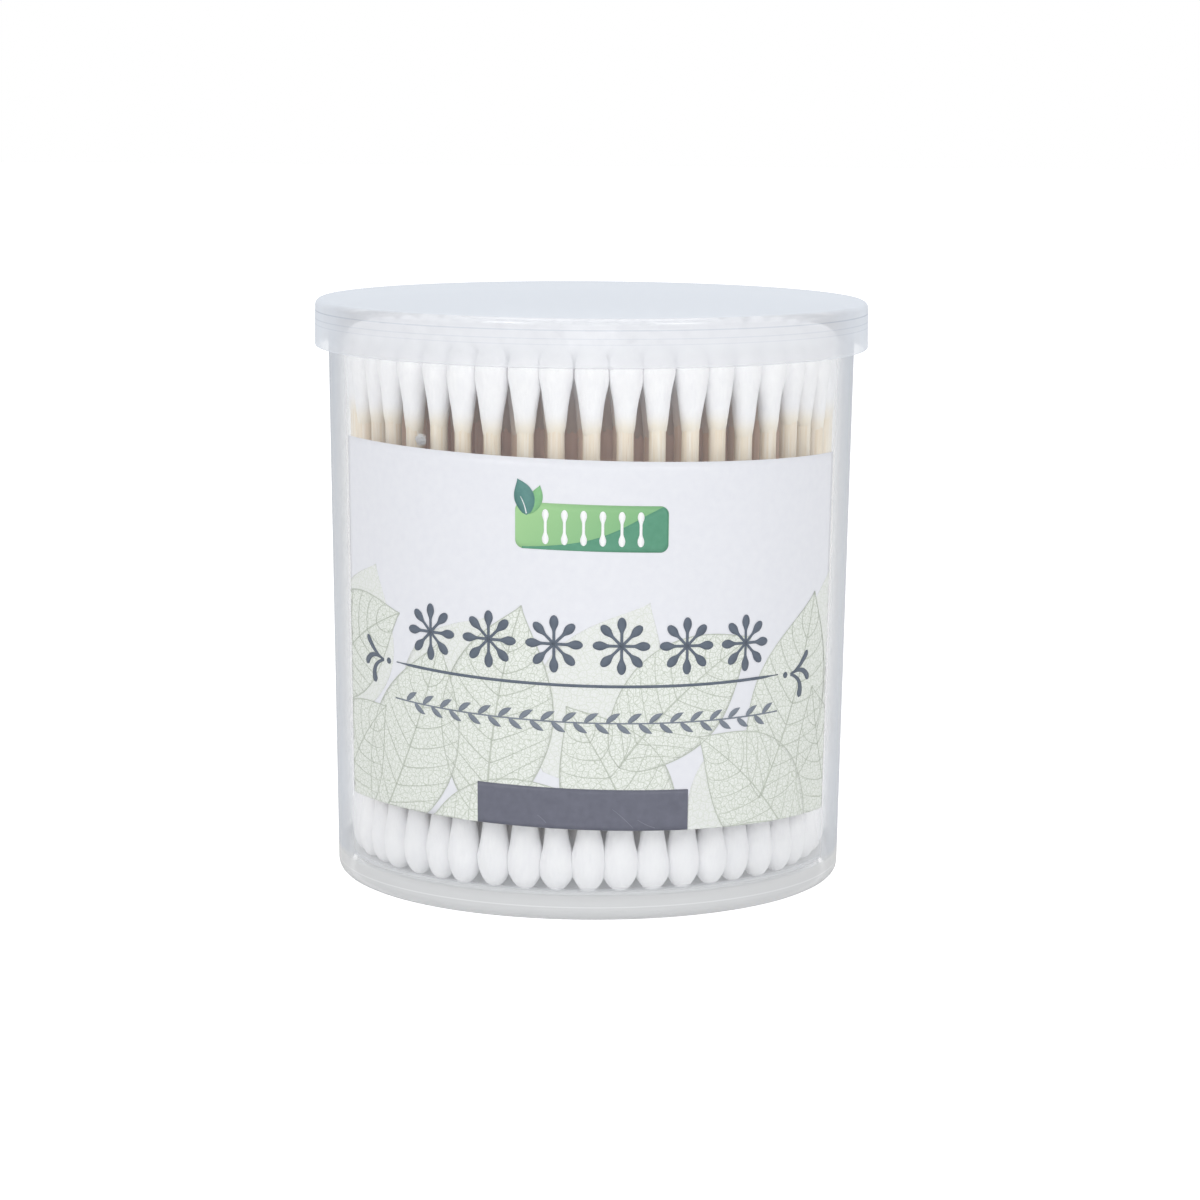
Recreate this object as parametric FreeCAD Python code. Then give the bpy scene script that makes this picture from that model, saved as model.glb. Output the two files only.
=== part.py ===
import FreeCAD, Part
import math
import os

# A round injection-moulded tub with a snap-on lid and a wrap label, packed with
# wooden swabs that stand on end in rings.  Lengths in mm, angles in degrees.
# The origin is the centre of the foot, +Z is up and the label faces -Y.

# Swab
swab_length = 73.0
stick_diameter = 2.3
tip_diameter = 4.0
tip_length = 11.4
nose_length = 4.5          # from the end of a tip to its widest place
nose_bands = 4             # straight bands that the rounded end is turned in
neck_cotton = 0.08         # thickness of the cotton where it runs out on the stick
stick_stop = 2.6           # cotton past the end of the stick
bore_clearance = 0.03      # between a stick and the cotton wound on it

# Packing
ring_count = 8
inner_ring_swabs = 4
swabs_added_per_ring = 6
swab_gap = 0.08            # least gap between the tips of neighbouring rings
seat_gap = 0.05            # between the noses and the floor
wall_clearance = 0.7       # between the outer tips and the wall
head_room = 2.35           # between the upper noses and the lid

# Tub
tub_wall = 1.1
draft_angle = 0.97
floor_thickness = 1.2
foot_height = 2.0          # the floor is raised by this much inside its foot ring
foot_width = 2.5
foot_corner_radius = 1.5
foot_inner_radius = 0.3
floor_corner_radius = 0.8
rim_radius = 0.3
bead_height = 0.3          # how far the snap bead stands proud of the wall
bead_width = 1.3
bead_drop = 1.7            # from the rim down to the middle of the bead
gate_dimple_radius = 3.0
gate_dimple_depth = 0.35
gate_radius = 0.8
gate_height = 0.25

# Lid
lid_panel = 1.4
skirt_depth = 6.5
skirt_wall = 1.2
lid_draft = 0.5
lid_edge_radius = 0.9
skirt_edge_radius = 0.3
ridge_height = 0.22        # how far the snap ridge stands inside the skirt
ridge_width = 1.1
snap_clearance = 0.1       # between the ridge and the bead, all round
ridge_drop = 0.15          # from the bottom of the bead to the top of the ridge

# Label
label_height = 49.0
label_bottom = 12.5        # height of its lower edge at the middle of the front
label_wrap = 128.6
label_skew = 1.6
label_thickness = 0.12
label_gap = 0.03

# Worked out from the sizes above
draft = math.tan(math.radians(draft_angle))
lid_slope = math.tan(math.radians(lid_draft))
floor_top = foot_height + floor_thickness
swab_foot = floor_top + seat_gap
low_widest = swab_foot + nose_length
high_widest = swab_foot + swab_length - nose_length
rim_height = swab_foot + swab_length + head_room
total_height = rim_height + lid_panel
ring_step = tip_diameter + swab_gap
first_ring = ring_step / (2 * math.sin(math.pi / inner_ring_swabs))
last_ring = first_ring + (ring_count - 1) * ring_step
inner_radius_low = last_ring + tip_diameter / 2 + wall_clearance
tilt_per_radius = draft / last_ring
bead_middle = rim_height - bead_drop
skirt_bottom = total_height - skirt_depth


def outer_radius(z):
    """Radius of the tub's outer wall at a height."""
    return inner_radius_low + tub_wall + (z - low_widest) * draft


def inner_radius(z):
    """Radius of the tub's inner wall at a height."""
    return outer_radius(z) - tub_wall


def rounded_section(corners):
    """Face in the XZ plane from (radius, height, fillet) corners, with a tangent arc at each fillet."""
    arcs = []
    ends = []
    count = len(corners)
    for i in range(count):
        before, here, after = (FreeCAD.Vector(corners[j][0], 0, corners[j][1])
                               for j in ((i - 1) % count, i, (i + 1) % count))
        fillet = corners[i][2]
        if not fillet:
            arcs.append([])
            ends.append((here, here))
            continue
        back = (before - here).normalize()
        ahead = (after - here).normalize()
        half = back.getAngle(ahead) / 2
        reach = fillet / math.tan(half)
        inward = (back + ahead).normalize()
        middle = here + inward * (fillet / math.sin(half) - fillet)
        start = here + back * reach
        end = here + ahead * reach
        arcs.append([Part.Arc(start, middle, end).toShape()])
        ends.append((start, end))
    edges = []
    for i in range(count):
        leave = ends[i][1]
        arrive = ends[(i + 1) % count][0]
        edges += arcs[i] + [Part.LineSegment(leave, arrive).toShape()]
    return Part.Face(Part.Wire(edges))


def turned(face, angle=360.0):
    """Solid of revolution about Z."""
    solid = face.revolve(FreeCAD.Vector(), FreeCAD.Vector(0, 0, 1), angle)
    return solid if solid.ShapeType == "Solid" else Part.Solid(solid)


def bump(radius_at, middle, width, height):
    """Corners of a ring that stands out of a drafted wall, or into it where the height is negative."""
    half = width / 2
    crown = half / 3
    return [(radius_at(middle - half), middle - half, 0),
            (radius_at(middle - crown) + height, middle - crown, 0),
            (radius_at(middle + crown) + height, middle + crown, 0),
            (radius_at(middle + half), middle + half, 0)]


def make_tub():
    """Tub with raised floor, foot ring, snap bead and the gate mark under the floor."""
    foot_bore = outer_radius(0) - foot_width
    corners = [
        (0, foot_height + gate_dimple_depth - gate_height, 0),
        (gate_radius, foot_height + gate_dimple_depth - gate_height, 0),
        (gate_radius, foot_height + gate_dimple_depth, 0),
        (gate_dimple_radius, foot_height + gate_dimple_depth, 0),
        (gate_dimple_radius + gate_dimple_depth, foot_height, 0),
        (foot_bore - foot_height * draft, foot_height, 0),
        (foot_bore, 0, foot_inner_radius),
        (outer_radius(0), 0, foot_corner_radius),
    ]
    corners += bump(outer_radius, bead_middle, bead_width, bead_height)
    corners += [
        (outer_radius(rim_height), rim_height, rim_radius),
        (inner_radius(rim_height), rim_height, rim_radius),
        (inner_radius(floor_top), floor_top, floor_corner_radius),
        (0, floor_top, 0),
    ]
    return turned(rounded_section(corners))


def make_lid():
    """Snap-on lid: flat panel, drafted skirt and a snap ridge that sits under the tub's bead."""
    bead_reach = outer_radius(bead_middle) + bead_height
    ridge_middle = bead_middle - bead_width / 2 - ridge_drop - ridge_width / 2
    skirt_bore = bead_reach + snap_clearance + ridge_height

    def skirt_inside(z):
        return skirt_bore + (ridge_middle - z) * lid_slope

    def skirt_outside(z):
        return skirt_inside(z) + skirt_wall

    corners = [
        (0, rim_height, 0),
        (skirt_inside(rim_height), rim_height, skirt_edge_radius),
    ]
    corners += reversed(bump(skirt_inside, ridge_middle, ridge_width, -ridge_height))
    corners += [
        (skirt_inside(skirt_bottom), skirt_bottom, skirt_edge_radius),
        (skirt_outside(skirt_bottom), skirt_bottom, skirt_edge_radius),
        (skirt_outside(total_height), total_height, lid_edge_radius),
        (0, total_height, 0),
    ]
    return turned(rounded_section(corners))


def make_label():
    """Thin wrap label on the front wall, put on a little askew."""
    top = label_bottom + label_height
    overrun = outer_radius(0) * math.sin(math.radians(label_skew)) + 1.0
    low, high = label_bottom - overrun, top + overrun
    inside = label_gap
    outside = label_gap + label_thickness
    sheet = Part.Face(Part.makePolygon([
        FreeCAD.Vector(outer_radius(low) + inside, 0, low),
        FreeCAD.Vector(outer_radius(low) + outside, 0, low),
        FreeCAD.Vector(outer_radius(high) + outside, 0, high),
        FreeCAD.Vector(outer_radius(high) + inside, 0, high),
        FreeCAD.Vector(outer_radius(low) + inside, 0, low),
    ]))
    band = turned(sheet, label_wrap)
    band.rotate(FreeCAD.Vector(), FreeCAD.Vector(0, 0, 1), -90 - label_wrap / 2)
    size = 4 * outer_radius(top)
    window = Part.makeBox(size, size, label_height, FreeCAD.Vector(-size / 2, -size / 2, label_bottom))
    middle = FreeCAD.Vector(0, 0, label_bottom + label_height / 2)
    window.rotate(middle, FreeCAD.Vector(0, 1, 0), label_skew)
    return band.common(window).Solids[0]


def make_tip():
    """Cotton bud, nose down at the origin: half-ellipse nose, long taper and a blind bore for the stick."""
    widest = tip_diameter / 2
    neck = stick_diameter / 2 + neck_cotton
    bore = stick_diameter / 2 + bore_clearance
    bore_end = stick_stop - bore_clearance
    section = []
    for band in range(nose_bands + 1):
        turn = math.radians(90 * band / nose_bands)
        section.append((widest * math.sin(turn), nose_length * (1 - math.cos(turn))))
    section += [(neck, tip_length), (bore, tip_length), (bore, bore_end), (0, bore_end)]
    return turned(rounded_section([(r, z, 0) for r, z in section]))


def make_stick():
    """Straight stick whose ends stop inside the cotton."""
    return Part.makeCylinder(stick_diameter / 2, swab_length - 2 * stick_stop, FreeCAD.Vector(0, 0, stick_stop))


def ring_placements(ring):
    """Places of the swabs in one ring, leaning out with the drafted wall."""
    radius = first_ring + (ring - 1) * ring_step
    swabs = inner_ring_swabs + (ring - 1) * swabs_added_per_ring
    lean = math.degrees(math.atan(radius * tilt_per_radius))
    foot = radius - nose_length * radius * tilt_per_radius
    places = []
    for i in range(swabs):
        turn = -90 + 360.0 * (i + 0.5 * (ring % 2)) / swabs
        around = FreeCAD.Rotation(FreeCAD.Vector(0, 0, 1), turn)
        outward = FreeCAD.Rotation(FreeCAD.Vector(0, 1, 0), lean)
        spot = around.multVec(FreeCAD.Vector(foot, 0, swab_foot))
        places.append(FreeCAD.Placement(spot, around.multiply(outward)))
    return places


def copies(shape, places):
    """Group of separate solids, one for each place."""
    group = []
    for place in places:
        piece = shape.copy()
        piece.Placement = place.multiply(shape.Placement)
        group.append(piece)
    return Part.makeCompound(group)


def make_swabs():
    """Sticks, lower tips and upper tips of every ring, numbered from the middle outwards."""
    tip = make_tip()
    stick = make_stick()
    upper_tip = make_tip()
    upper_tip.Placement = FreeCAD.Placement(FreeCAD.Vector(0, 0, swab_length),
                                            FreeCAD.Rotation(FreeCAD.Vector(1, 0, 0), 180))
    nodes = {}
    for ring in range(1, ring_count + 1):
        places = ring_placements(ring)
        nodes[f"sticks_ring_{ring}"] = copies(stick, places)
        nodes[f"lower_tips_ring_{ring}"] = copies(tip, places)
        nodes[f"upper_tips_ring_{ring}"] = copies(upper_tip, places)
    return nodes


nodes = {"tub": make_tub(), "lid": make_lid(), "label": make_label()}
nodes.update(make_swabs())
os.makedirs("parts", exist_ok=True)
for name, shape in nodes.items():
    shape.exportStep(os.path.join("parts", name + ".step"))
    print(name, "solids", len(shape.Solids), "volume", round(shape.Volume, 1), "valid", shape.isValid())
print("total height", round(total_height, 2), "tub radius", round(outer_radius(0), 2),
      "swabs", sum(len(ring_placements(r)) for r in range(1, ring_count + 1)))
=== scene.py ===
import math

import bmesh
import bpy
import numpy as np
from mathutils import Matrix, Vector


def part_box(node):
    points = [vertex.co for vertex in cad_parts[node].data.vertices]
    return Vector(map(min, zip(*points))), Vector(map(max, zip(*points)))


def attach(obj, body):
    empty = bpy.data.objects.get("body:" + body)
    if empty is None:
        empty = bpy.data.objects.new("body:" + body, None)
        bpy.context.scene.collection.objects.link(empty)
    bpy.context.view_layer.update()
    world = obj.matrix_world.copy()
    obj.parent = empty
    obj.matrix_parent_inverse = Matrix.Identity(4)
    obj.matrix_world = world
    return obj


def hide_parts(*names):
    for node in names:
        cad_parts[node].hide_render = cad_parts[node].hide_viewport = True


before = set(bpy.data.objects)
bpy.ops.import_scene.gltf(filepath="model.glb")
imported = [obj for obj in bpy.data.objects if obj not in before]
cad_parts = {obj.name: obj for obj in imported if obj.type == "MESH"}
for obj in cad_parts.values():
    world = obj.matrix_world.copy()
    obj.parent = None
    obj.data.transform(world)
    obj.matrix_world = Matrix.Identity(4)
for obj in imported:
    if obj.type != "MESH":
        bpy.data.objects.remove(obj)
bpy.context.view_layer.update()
mm = 0.001  # shapes are worked out in millimetres and put into the meshes in metres
dice = np.random.default_rng(20)


# Meshes

def lattice(rows, cols, wrap):
    # Quads of a rows by cols grid of points; with wrap the last column joins the first.
    i = np.arange(rows - 1)[:, None]
    j = np.arange(cols if wrap else cols - 1)[None, :]
    k = (j + 1) % cols
    corners = [i * cols + j, i * cols + k, (i + 1) * cols + k, (i + 1) * cols + j]
    return np.stack(np.broadcast_arrays(*corners), axis=-1).reshape(-1, 4)


def repeated(faces, count, size):
    # The same faces for count copies of a shape that has size points.
    return (faces[None] + (np.arange(count) * size)[:, None, None]).reshape(-1, faces.shape[1])


def joined(parts):
    # One set of points and faces from several.
    points = np.concatenate([p for p, f in parts])
    starts = np.cumsum([0] + [len(p) for p, f in parts[:-1]])
    faces = np.concatenate([f + s for (p, f), s in zip(parts, starts)])
    return points, faces


def putMesh(name, points, faces, material, replaced=(), uv=None, marks=None, weld=True):
    # Points in mm, quads as index rows, uv for each point, marks as named values for each point.
    mesh = bpy.data.meshes.new(name)
    mesh.vertices.add(len(points))
    mesh.vertices.foreach_set("co", (points * mm).astype(np.float32).ravel())
    mesh.loops.add(faces.size)
    mesh.loops.foreach_set("vertex_index", faces.astype(np.int32).ravel())
    mesh.polygons.add(len(faces))
    mesh.polygons.foreach_set("loop_start", np.arange(0, faces.size, 4, dtype=np.int32))
    mesh.update(calc_edges=True)
    if uv is not None:
        layer = mesh.uv_layers.new(name="printMap")
        layer.uv.foreach_set("vector", uv[faces.ravel()].astype(np.float32).ravel())
    for key, values in (marks or {}).items():
        kind = "FLOAT_VECTOR" if values.ndim == 2 else "FLOAT"
        mark = mesh.attributes.new(key, kind, "POINT")
        mark.data.foreach_set("vector" if values.ndim == 2 else "value", values.astype(np.float32).ravel())
    if weld:  # closes poles, where a whole row of points falls together
        work = bmesh.new()
        work.from_mesh(mesh)
        bmesh.ops.remove_doubles(work, verts=work.verts, dist=1e-7)
        work.to_mesh(mesh)
        work.free()
    mesh.validate()
    mesh.shade_smooth()
    mesh.materials.append(material)
    piece = bpy.data.objects.new(name, mesh)
    bpy.context.scene.collection.objects.link(piece)
    if replaced:
        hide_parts(*replaced)
    return piece


def roundedLine(corners, arcSteps=6, hold=0.06):
    # A section line through (radius, height, fillet) corners: each fillet is a circular arc tangent to both
    # sides, and a point close to each end of an arc keeps the flats flat under smooth shading.
    spots = np.array([c[:2] for c in corners], float)
    line = [spots[0]]
    for before, here, after, fillet in zip(spots, spots[1:], spots[2:], [c[2] for c in corners[1:-1]]):
        back = (before - here) / np.linalg.norm(before - here)
        ahead = (after - here) / np.linalg.norm(after - here)
        half = math.acos(np.clip(back @ ahead, -1, 1)) / 2
        reach = fillet / math.tan(half)
        middle = here + (back + ahead) / np.linalg.norm(back + ahead) * fillet / math.sin(half)
        start, end = here + back * reach, here + ahead * reach
        sweep = math.pi - 2 * half
        out = (start - middle) / fillet
        side = (end - middle) - (end - middle) @ out * out
        side /= np.linalg.norm(side)
        turn = np.linspace(0, sweep, arcSteps)[:, None]
        line += [start + back * hold]
        line += list(middle + fillet * (np.cos(turn) * out + np.sin(turn) * side))
        line += [end + ahead * hold]
    line.append(spots[-1])
    return np.array(line)


def revolved(line, segments):
    # Point (i, j) is line point i turned about Z by j steps. A line that runs from the axis under the
    # solid, up its outside and back to the axis gives faces that point outwards.
    turn = np.arange(segments) * 2 * math.pi / segments
    r, z = line[:, :1], line[:, 1:]
    grid = np.stack([r * np.cos(turn), r * np.sin(turn), z + 0 * turn], axis=-1)
    return grid.reshape(-1, 3), lattice(len(line), segments, True)


# Materials

def newMaterial(name):
    material = bpy.data.materials.new(name)
    material.use_nodes = True
    return material, material.node_tree, material.node_tree.nodes["Principled BSDF"]


def addNode(tree, kind, inputs=None, **settings):
    # A node with its settings; each input is a plain value or another node's output socket.
    made = tree.nodes.new(kind)
    for key, value in settings.items():
        setattr(made, key, value)
    for key, value in (inputs or {}).items():
        if isinstance(value, bpy.types.NodeSocket):
            tree.links.new(value, made.inputs[key])
        else:
            made.inputs[key].default_value = value
    return made


def maths(tree, operation, *values):
    return addNode(tree, "ShaderNodeMath", dict(enumerate(values)), operation=operation).outputs[0]


def markOf(tree, name, socket="Fac"):
    return addNode(tree, "ShaderNodeAttribute", attribute_name=name).outputs[socket]


def mixColour(tree, share, first, second):
    made = addNode(tree, "ShaderNodeMix", data_type="RGBA")
    for socket, value in ((made.inputs[0], share), (made.inputs[6], first), (made.inputs[7], second)):
        if isinstance(value, bpy.types.NodeSocket):
            tree.links.new(value, socket)
        else:
            socket.default_value = value
    return made.outputs[2]


def ramp(tree, value, low, high, toLow=0.0, toHigh=1.0):
    made = addNode(tree, "ShaderNodeMapRange", {0: value, 1: low, 2: high, 3: toLow, 4: toHigh})
    return made.outputs[0]


def fromScreen(red, green, blue):
    # Linear colour from the 0 to 255 values that a screen shows.
    screen = np.array([red, green, blue]) / 255
    return tuple(np.where(screen <= 0.04045, screen / 12.92, ((screen + 0.055) / 1.055) ** 2.4)) + (1.0,)


def bumped(tree, shader, height, strength, distance):
    bump = addNode(tree, "ShaderNodeBump", {"Height": height, "Strength": strength, "Distance": distance})
    tree.links.new(bump.outputs[0], shader.inputs["Normal"])


def scaled(tree, source, scale):
    return addNode(tree, "ShaderNodeMapping", {"Vector": source, "Scale": scale}).outputs[0]


def makeCotton():
    look = {"shade": fromScreen(243, 243, 246), "light": fromScreen(252, 252, 253),
            "neck": fromScreen(246, 236, 216), "paintedShade": fromScreen(214, 184, 168), "roughness": 1.0, "sheen": 0.25,
            "specular": 0.15, "softness": 0.3, "depth": 1.1 * mm, "bump": 0.5}
    material, tree, shader = newMaterial("cotton_wound")
    local = markOf(tree, "grain", "Vector")
    fibre = addNode(tree, "ShaderNodeTexNoise", {"Vector": scaled(tree, local, (3.2, 3.2, 0.8)), "Scale": 1.0,
                                                 "Detail": 5.0, "Distortion": 0.8})
    lumps = addNode(tree, "ShaderNodeTexNoise", {"Vector": scaled(tree, local, (0.5, 0.5, 0.35)), "Scale": 1.0})
    tone = maths(tree, "ADD", fibre.outputs[0], lumps.outputs[0])
    body = mixColour(tree, ramp(tree, tone, 0.7, 1.3), look["shade"], look["light"])
    thin = maths(tree, "MULTIPLY", markOf(tree, "thin"), ramp(tree, fibre.outputs[0], 0.3, 0.7, 0.8, 1.0))
    body = mixColour(tree, thin, body, look["neck"])
    # Painted shade: the tips of the inner rings turn brown towards their necks, for the shade deep in the crowded
    # pack.
    body = mixColour(tree, markOf(tree, "paintedShade"), body, look["paintedShade"])
    tree.links.new(body, shader.inputs["Base Color"])
    shader.inputs["Roughness"].default_value = look["roughness"]
    shader.inputs["Specular IOR Level"].default_value = look["specular"]
    shader.inputs["Sheen Weight"].default_value = look["sheen"]
    shader.inputs["Sheen Roughness"].default_value = 0.5
    shader.inputs["Subsurface Weight"].default_value = look["softness"]
    shader.inputs["Subsurface Radius"].default_value = (1.0, 1.0, 1.0)
    shader.inputs["Subsurface Scale"].default_value = look["depth"]
    bumped(tree, shader, tone, look["bump"], 0.12 * mm)
    return material


def makeBamboo():
    look = {"pale": fromScreen(250, 243, 228), "dark": fromScreen(242, 228, 202), "streak": fromScreen(214, 180, 140),
            "deep": fromScreen(222, 168, 144), "roughness": 0.55}
    material, tree, shader = newMaterial("bamboo_bare")
    local = markOf(tree, "grain", "Vector")
    grain = addNode(tree, "ShaderNodeTexNoise", {"Vector": scaled(tree, local, (4.0, 4.0, 0.12)), "Scale": 1.0,
                                                 "Detail": 4.0})
    pores = addNode(tree, "ShaderNodeTexNoise", {"Vector": scaled(tree, local, (9.0, 9.0, 0.22)), "Scale": 1.0,
                                                 "Detail": 2.0})
    body = mixColour(tree, ramp(tree, grain.outputs[0], 0.35, 0.65), look["dark"], look["pale"])
    body = mixColour(tree, ramp(tree, pores.outputs[0], 0.62, 0.74, 0.0, 0.55), body, look["streak"])
    # Tone mark: each stick's own random shade plus painted shade on the inner rings, deep in the pack.
    body = mixColour(tree, markOf(tree, "tone"), body, look["deep"])
    tree.links.new(body, shader.inputs["Base Color"])
    shader.inputs["Roughness"].default_value = look["roughness"]
    bumped(tree, shader, pores.outputs[0], 0.4, 0.05 * mm)
    return material


def makePlastic(name, look):
    # Milky polypropylene: see-through face on, blue-grey and dense where it is seen edge on, clearer below
    # fadeTo, milkier from lowTop down, and dense and grey below footTop, where the grey is partly the thicker
    # plastic of floor and foot and partly painted shade. Each line is a painted line where an inner corner or
    # edge shows through at one height, a painted highlight in a pale colour and a painted shade in a dark one:
    # (height, width, share).
    material, tree, shader = newMaterial(name)
    place = addNode(tree, "ShaderNodeTexCoord").outputs["Object"]
    cloud = addNode(tree, "ShaderNodeTexNoise", {"Vector": place, "Scale": look["cloudScale"], "Detail": 3.0})
    ripple = addNode(tree, "ShaderNodeTexNoise", {"Vector": place, "Scale": look["rippleScale"], "Detail": 2.0})
    facing = addNode(tree, "ShaderNodeLayerWeight", {"Blend": 0.5}).outputs["Facing"]
    edge = ramp(tree, facing, look["edgeFrom"], look["edgeTo"])
    height = addNode(tree, "ShaderNodeSeparateXYZ", {0: place}).outputs[2]
    foot = ramp(tree, height, look["footTop"] * mm, look["footFull"] * mm)
    milk = mixColour(tree, cloud.outputs[0], look["deep"], look["milk"])
    shade = mixColour(tree, edge, milk, look["edge"])
    # Below footTop the colour turns to the foot grey: partly the thicker plastic of floor and foot ring, partly
    # painted shade of the base.
    shade = mixColour(tree, foot, shade, look["foot"])
    # Painted lines: each paints the line colour in a thin band at one height, a painted highlight where it is pale
    # and a painted shade where it is dark.
    for at, width, share in look["paintedLines"]:
        off = maths(tree, "ABSOLUTE", maths(tree, "SUBTRACT", height, at * mm))
        shade = mixColour(tree, ramp(tree, off, 0.0, width * mm, share, 0.0), shade, look["line"])
    tree.links.new(shade, shader.inputs["Base Color"])
    haze = ramp(tree, edge, 0.0, 1.0, look["faceHaze"], look["edgeHaze"])
    fade = ramp(tree, height, look["fadeFrom"] * mm, look["fadeTo"] * mm, look["fadeShare"], 1.0)
    haze = maths(tree, "MULTIPLY", haze, fade)
    low = ramp(tree, height, look["lowTop"] * mm, look["footTop"] * mm, 0.0, look["lowHaze"])
    haze = maths(tree, "MAXIMUM", haze, low)
    outer = markOf(tree, "outer")
    haze = maths(tree, "MULTIPLY", haze, outer)
    haze = maths(tree, "MAXIMUM", haze, ramp(tree, foot, 0.0, 1.0, 0.0, look["footHaze"]))
    # The milk scatters light on more than it stops it, so it shades what is inside only by its shadeShare.
    ray = addNode(tree, "ShaderNodeLightPath").outputs
    lit = maths(tree, "MAXIMUM", ray["Is Shadow Ray"], ray["Is Diffuse Ray"])
    haze = maths(tree, "MULTIPLY", haze, ramp(tree, lit, 0.0, 1.0, 1.0, look["shadeShare"]))
    tree.links.new(haze, shader.inputs["Alpha"])
    shader.inputs["Roughness"].default_value = 0.5
    shader.inputs["Specular IOR Level"].default_value = 0.0
    bumped(tree, shader, ripple.outputs[0], look["ripple"], 0.3 * mm)
    # The gloss lies over the clear parts as over the milky ones.
    bump = shader.inputs["Normal"].links[0].from_socket
    gloss = addNode(tree, "ShaderNodeBsdfGlossy", {"Color": (1.0, 1.0, 1.0, 1.0), "Roughness": look["roughness"],
                                                   "Normal": bump})
    shine = addNode(tree, "ShaderNodeFresnel", {"IOR": 1.49, "Normal": bump}).outputs[0]
    shine = maths(tree, "MINIMUM", shine, look["glossMost"])
    for share in (ramp(tree, lit, 0.0, 1.0, 1.0, 0.0), ramp(tree, outer, 0.0, 1.0, look["innerShine"], 1.0)):
        shine = maths(tree, "MULTIPLY", shine, share)
    both = addNode(tree, "ShaderNodeMixShader", {0: shine, 1: shader.outputs[0], 2: gloss.outputs[0]}).outputs[0]
    tree.links.new(both, tree.nodes["Material Output"].inputs[0])
    return material


def makePaint(name, colours, roughness=0.45, spread=0.5, scale=900.0):
    # Flat ink with the fine mottle of a printed film.
    material, tree, shader = newMaterial(name)
    place = addNode(tree, "ShaderNodeTexCoord").outputs["Object"]
    mottle = addNode(tree, "ShaderNodeTexNoise", {"Vector": place, "Scale": scale, "Detail": 3.0})
    share = ramp(tree, mottle.outputs[0], 0.5 - spread / 2, 0.5 + spread / 2)
    tree.links.new(mixColour(tree, share, colours[0], colours[1]), shader.inputs["Base Color"])
    shader.inputs["Roughness"].default_value = roughness
    bumped(tree, shader, mottle.outputs[0], 0.15, 0.02 * mm)
    return material


def makeLeafInk(name, look):
    # Skeleton leaf: a net of veins, coarse cells crossed by finer ones, on a pale green field.
    material, tree, shader = newMaterial(name)
    flat = addNode(tree, "ShaderNodeUVMap", uv_map="printMap").outputs[0]
    wobble = addNode(tree, "ShaderNodeTexNoise", {"Vector": flat, "Scale": 0.8, "Detail": 2.0})
    bent = addNode(tree, "ShaderNodeVectorMath", {0: flat, 1: wobble.outputs["Color"]}, operation="ADD").outputs[0]
    nets = []
    for scale in (look["cells"], look["fine"]):
        net = addNode(tree, "ShaderNodeTexVoronoi", {"Vector": bent, "Scale": scale},
                      feature="DISTANCE_TO_EDGE", voronoi_dimensions="2D")
        nets.append(ramp(tree, net.outputs["Distance"], 0.0, look["width"] * scale, 1.0, 0.0))
    net = maths(tree, "MAXIMUM", nets[0], maths(tree, "MULTIPLY", nets[1], look["fineShare"]))
    tree.links.new(mixColour(tree, net, look["field"], look["vein"]), shader.inputs["Base Color"])
    shader.inputs["Roughness"].default_value = 0.45
    return material


def makeBadgeInk():
    # Green that runs from light at the upper left to deeper at the lower right.
    material, tree, shader = newMaterial("badge_green_ink")
    flat = addNode(tree, "ShaderNodeUVMap", uv_map="printMap").outputs[0]
    parts = addNode(tree, "ShaderNodeSeparateXYZ", {0: flat})
    run = maths(tree, "SUBTRACT", parts.outputs[0], parts.outputs[1])
    share = ramp(tree, run, -66.0, -40.0)
    tree.links.new(mixColour(tree, share, fromScreen(166, 210, 150), fromScreen(112, 172, 122)),
                   shader.inputs["Base Color"])
    shader.inputs["Roughness"].default_value = 0.4
    return material


cotton = makeCotton()
bamboo = makeBamboo()
# The tub's foot grey is partly painted shade, and its line at the floor's underside corner is a painted highlight.
tubPlastic = makePlastic("tub_milky_plastic", {
    "milk": fromScreen(238, 240, 244), "deep": fromScreen(228, 231, 236), "edge": fromScreen(191, 198, 209),
    "foot": fromScreen(217, 218, 219), "line": fromScreen(248, 249, 250), "cloudScale": 40.0,
    "rippleScale": 60.0, "ripple": 0.006, "roughness": 0.06, "edgeFrom": 0.54, "edgeTo": 0.82, "shadeShare": 0.05,
    "glossMost": 0.4, "innerShine": 0.03, "faceHaze": 0.07, "edgeHaze": 0.8, "lowTop": 16.0, "lowHaze": 0.3,
    "footTop": 4.4, "footFull": 3.4, "footHaze": 0.85, "fadeFrom": 0.0, "fadeTo": 1.0, "fadeShare": 1.0,
    "paintedLines": [(1.95, 0.12, 0.6)]})
# The lid's lines are painted shade where the panel's inner corner and the tub's bead show through the skirt.
lidPlastic = makePlastic("lid_milky_plastic", {
    "milk": fromScreen(228, 230, 236), "deep": fromScreen(220, 223, 230), "edge": fromScreen(226, 232, 241),
    "foot": fromScreen(222, 228, 236), "line": fromScreen(182, 191, 207), "cloudScale": 30.0,
    "rippleScale": 60.0, "ripple": 0.03, "roughness": 0.1, "edgeFrom": 0.5, "edgeTo": 0.8, "shadeShare": 0.1,
    "glossMost": 0.25, "innerShine": 0.5, "faceHaze": 0.54, "edgeHaze": 0.92, "lowTop": 2.0, "lowHaze": 0.0,
    "footTop": 1.0, "footFull": 0.5, "footHaze": 0.0, "fadeFrom": 73.6, "fadeTo": 76.4, "fadeShare": 0.75,
    "paintedLines": [(78.45, 0.12, 0.9), (77.35, 0.1, 0.55), (76.6, 0.09, 0.45)]})
labelFilm = makePaint("label_film", (fromScreen(229, 230, 236), fromScreen(233, 234, 239)), 0.4)
slateInk = makePaint("slate_ink", (fromScreen(88, 98, 112), fromScreen(98, 108, 122)))
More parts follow.
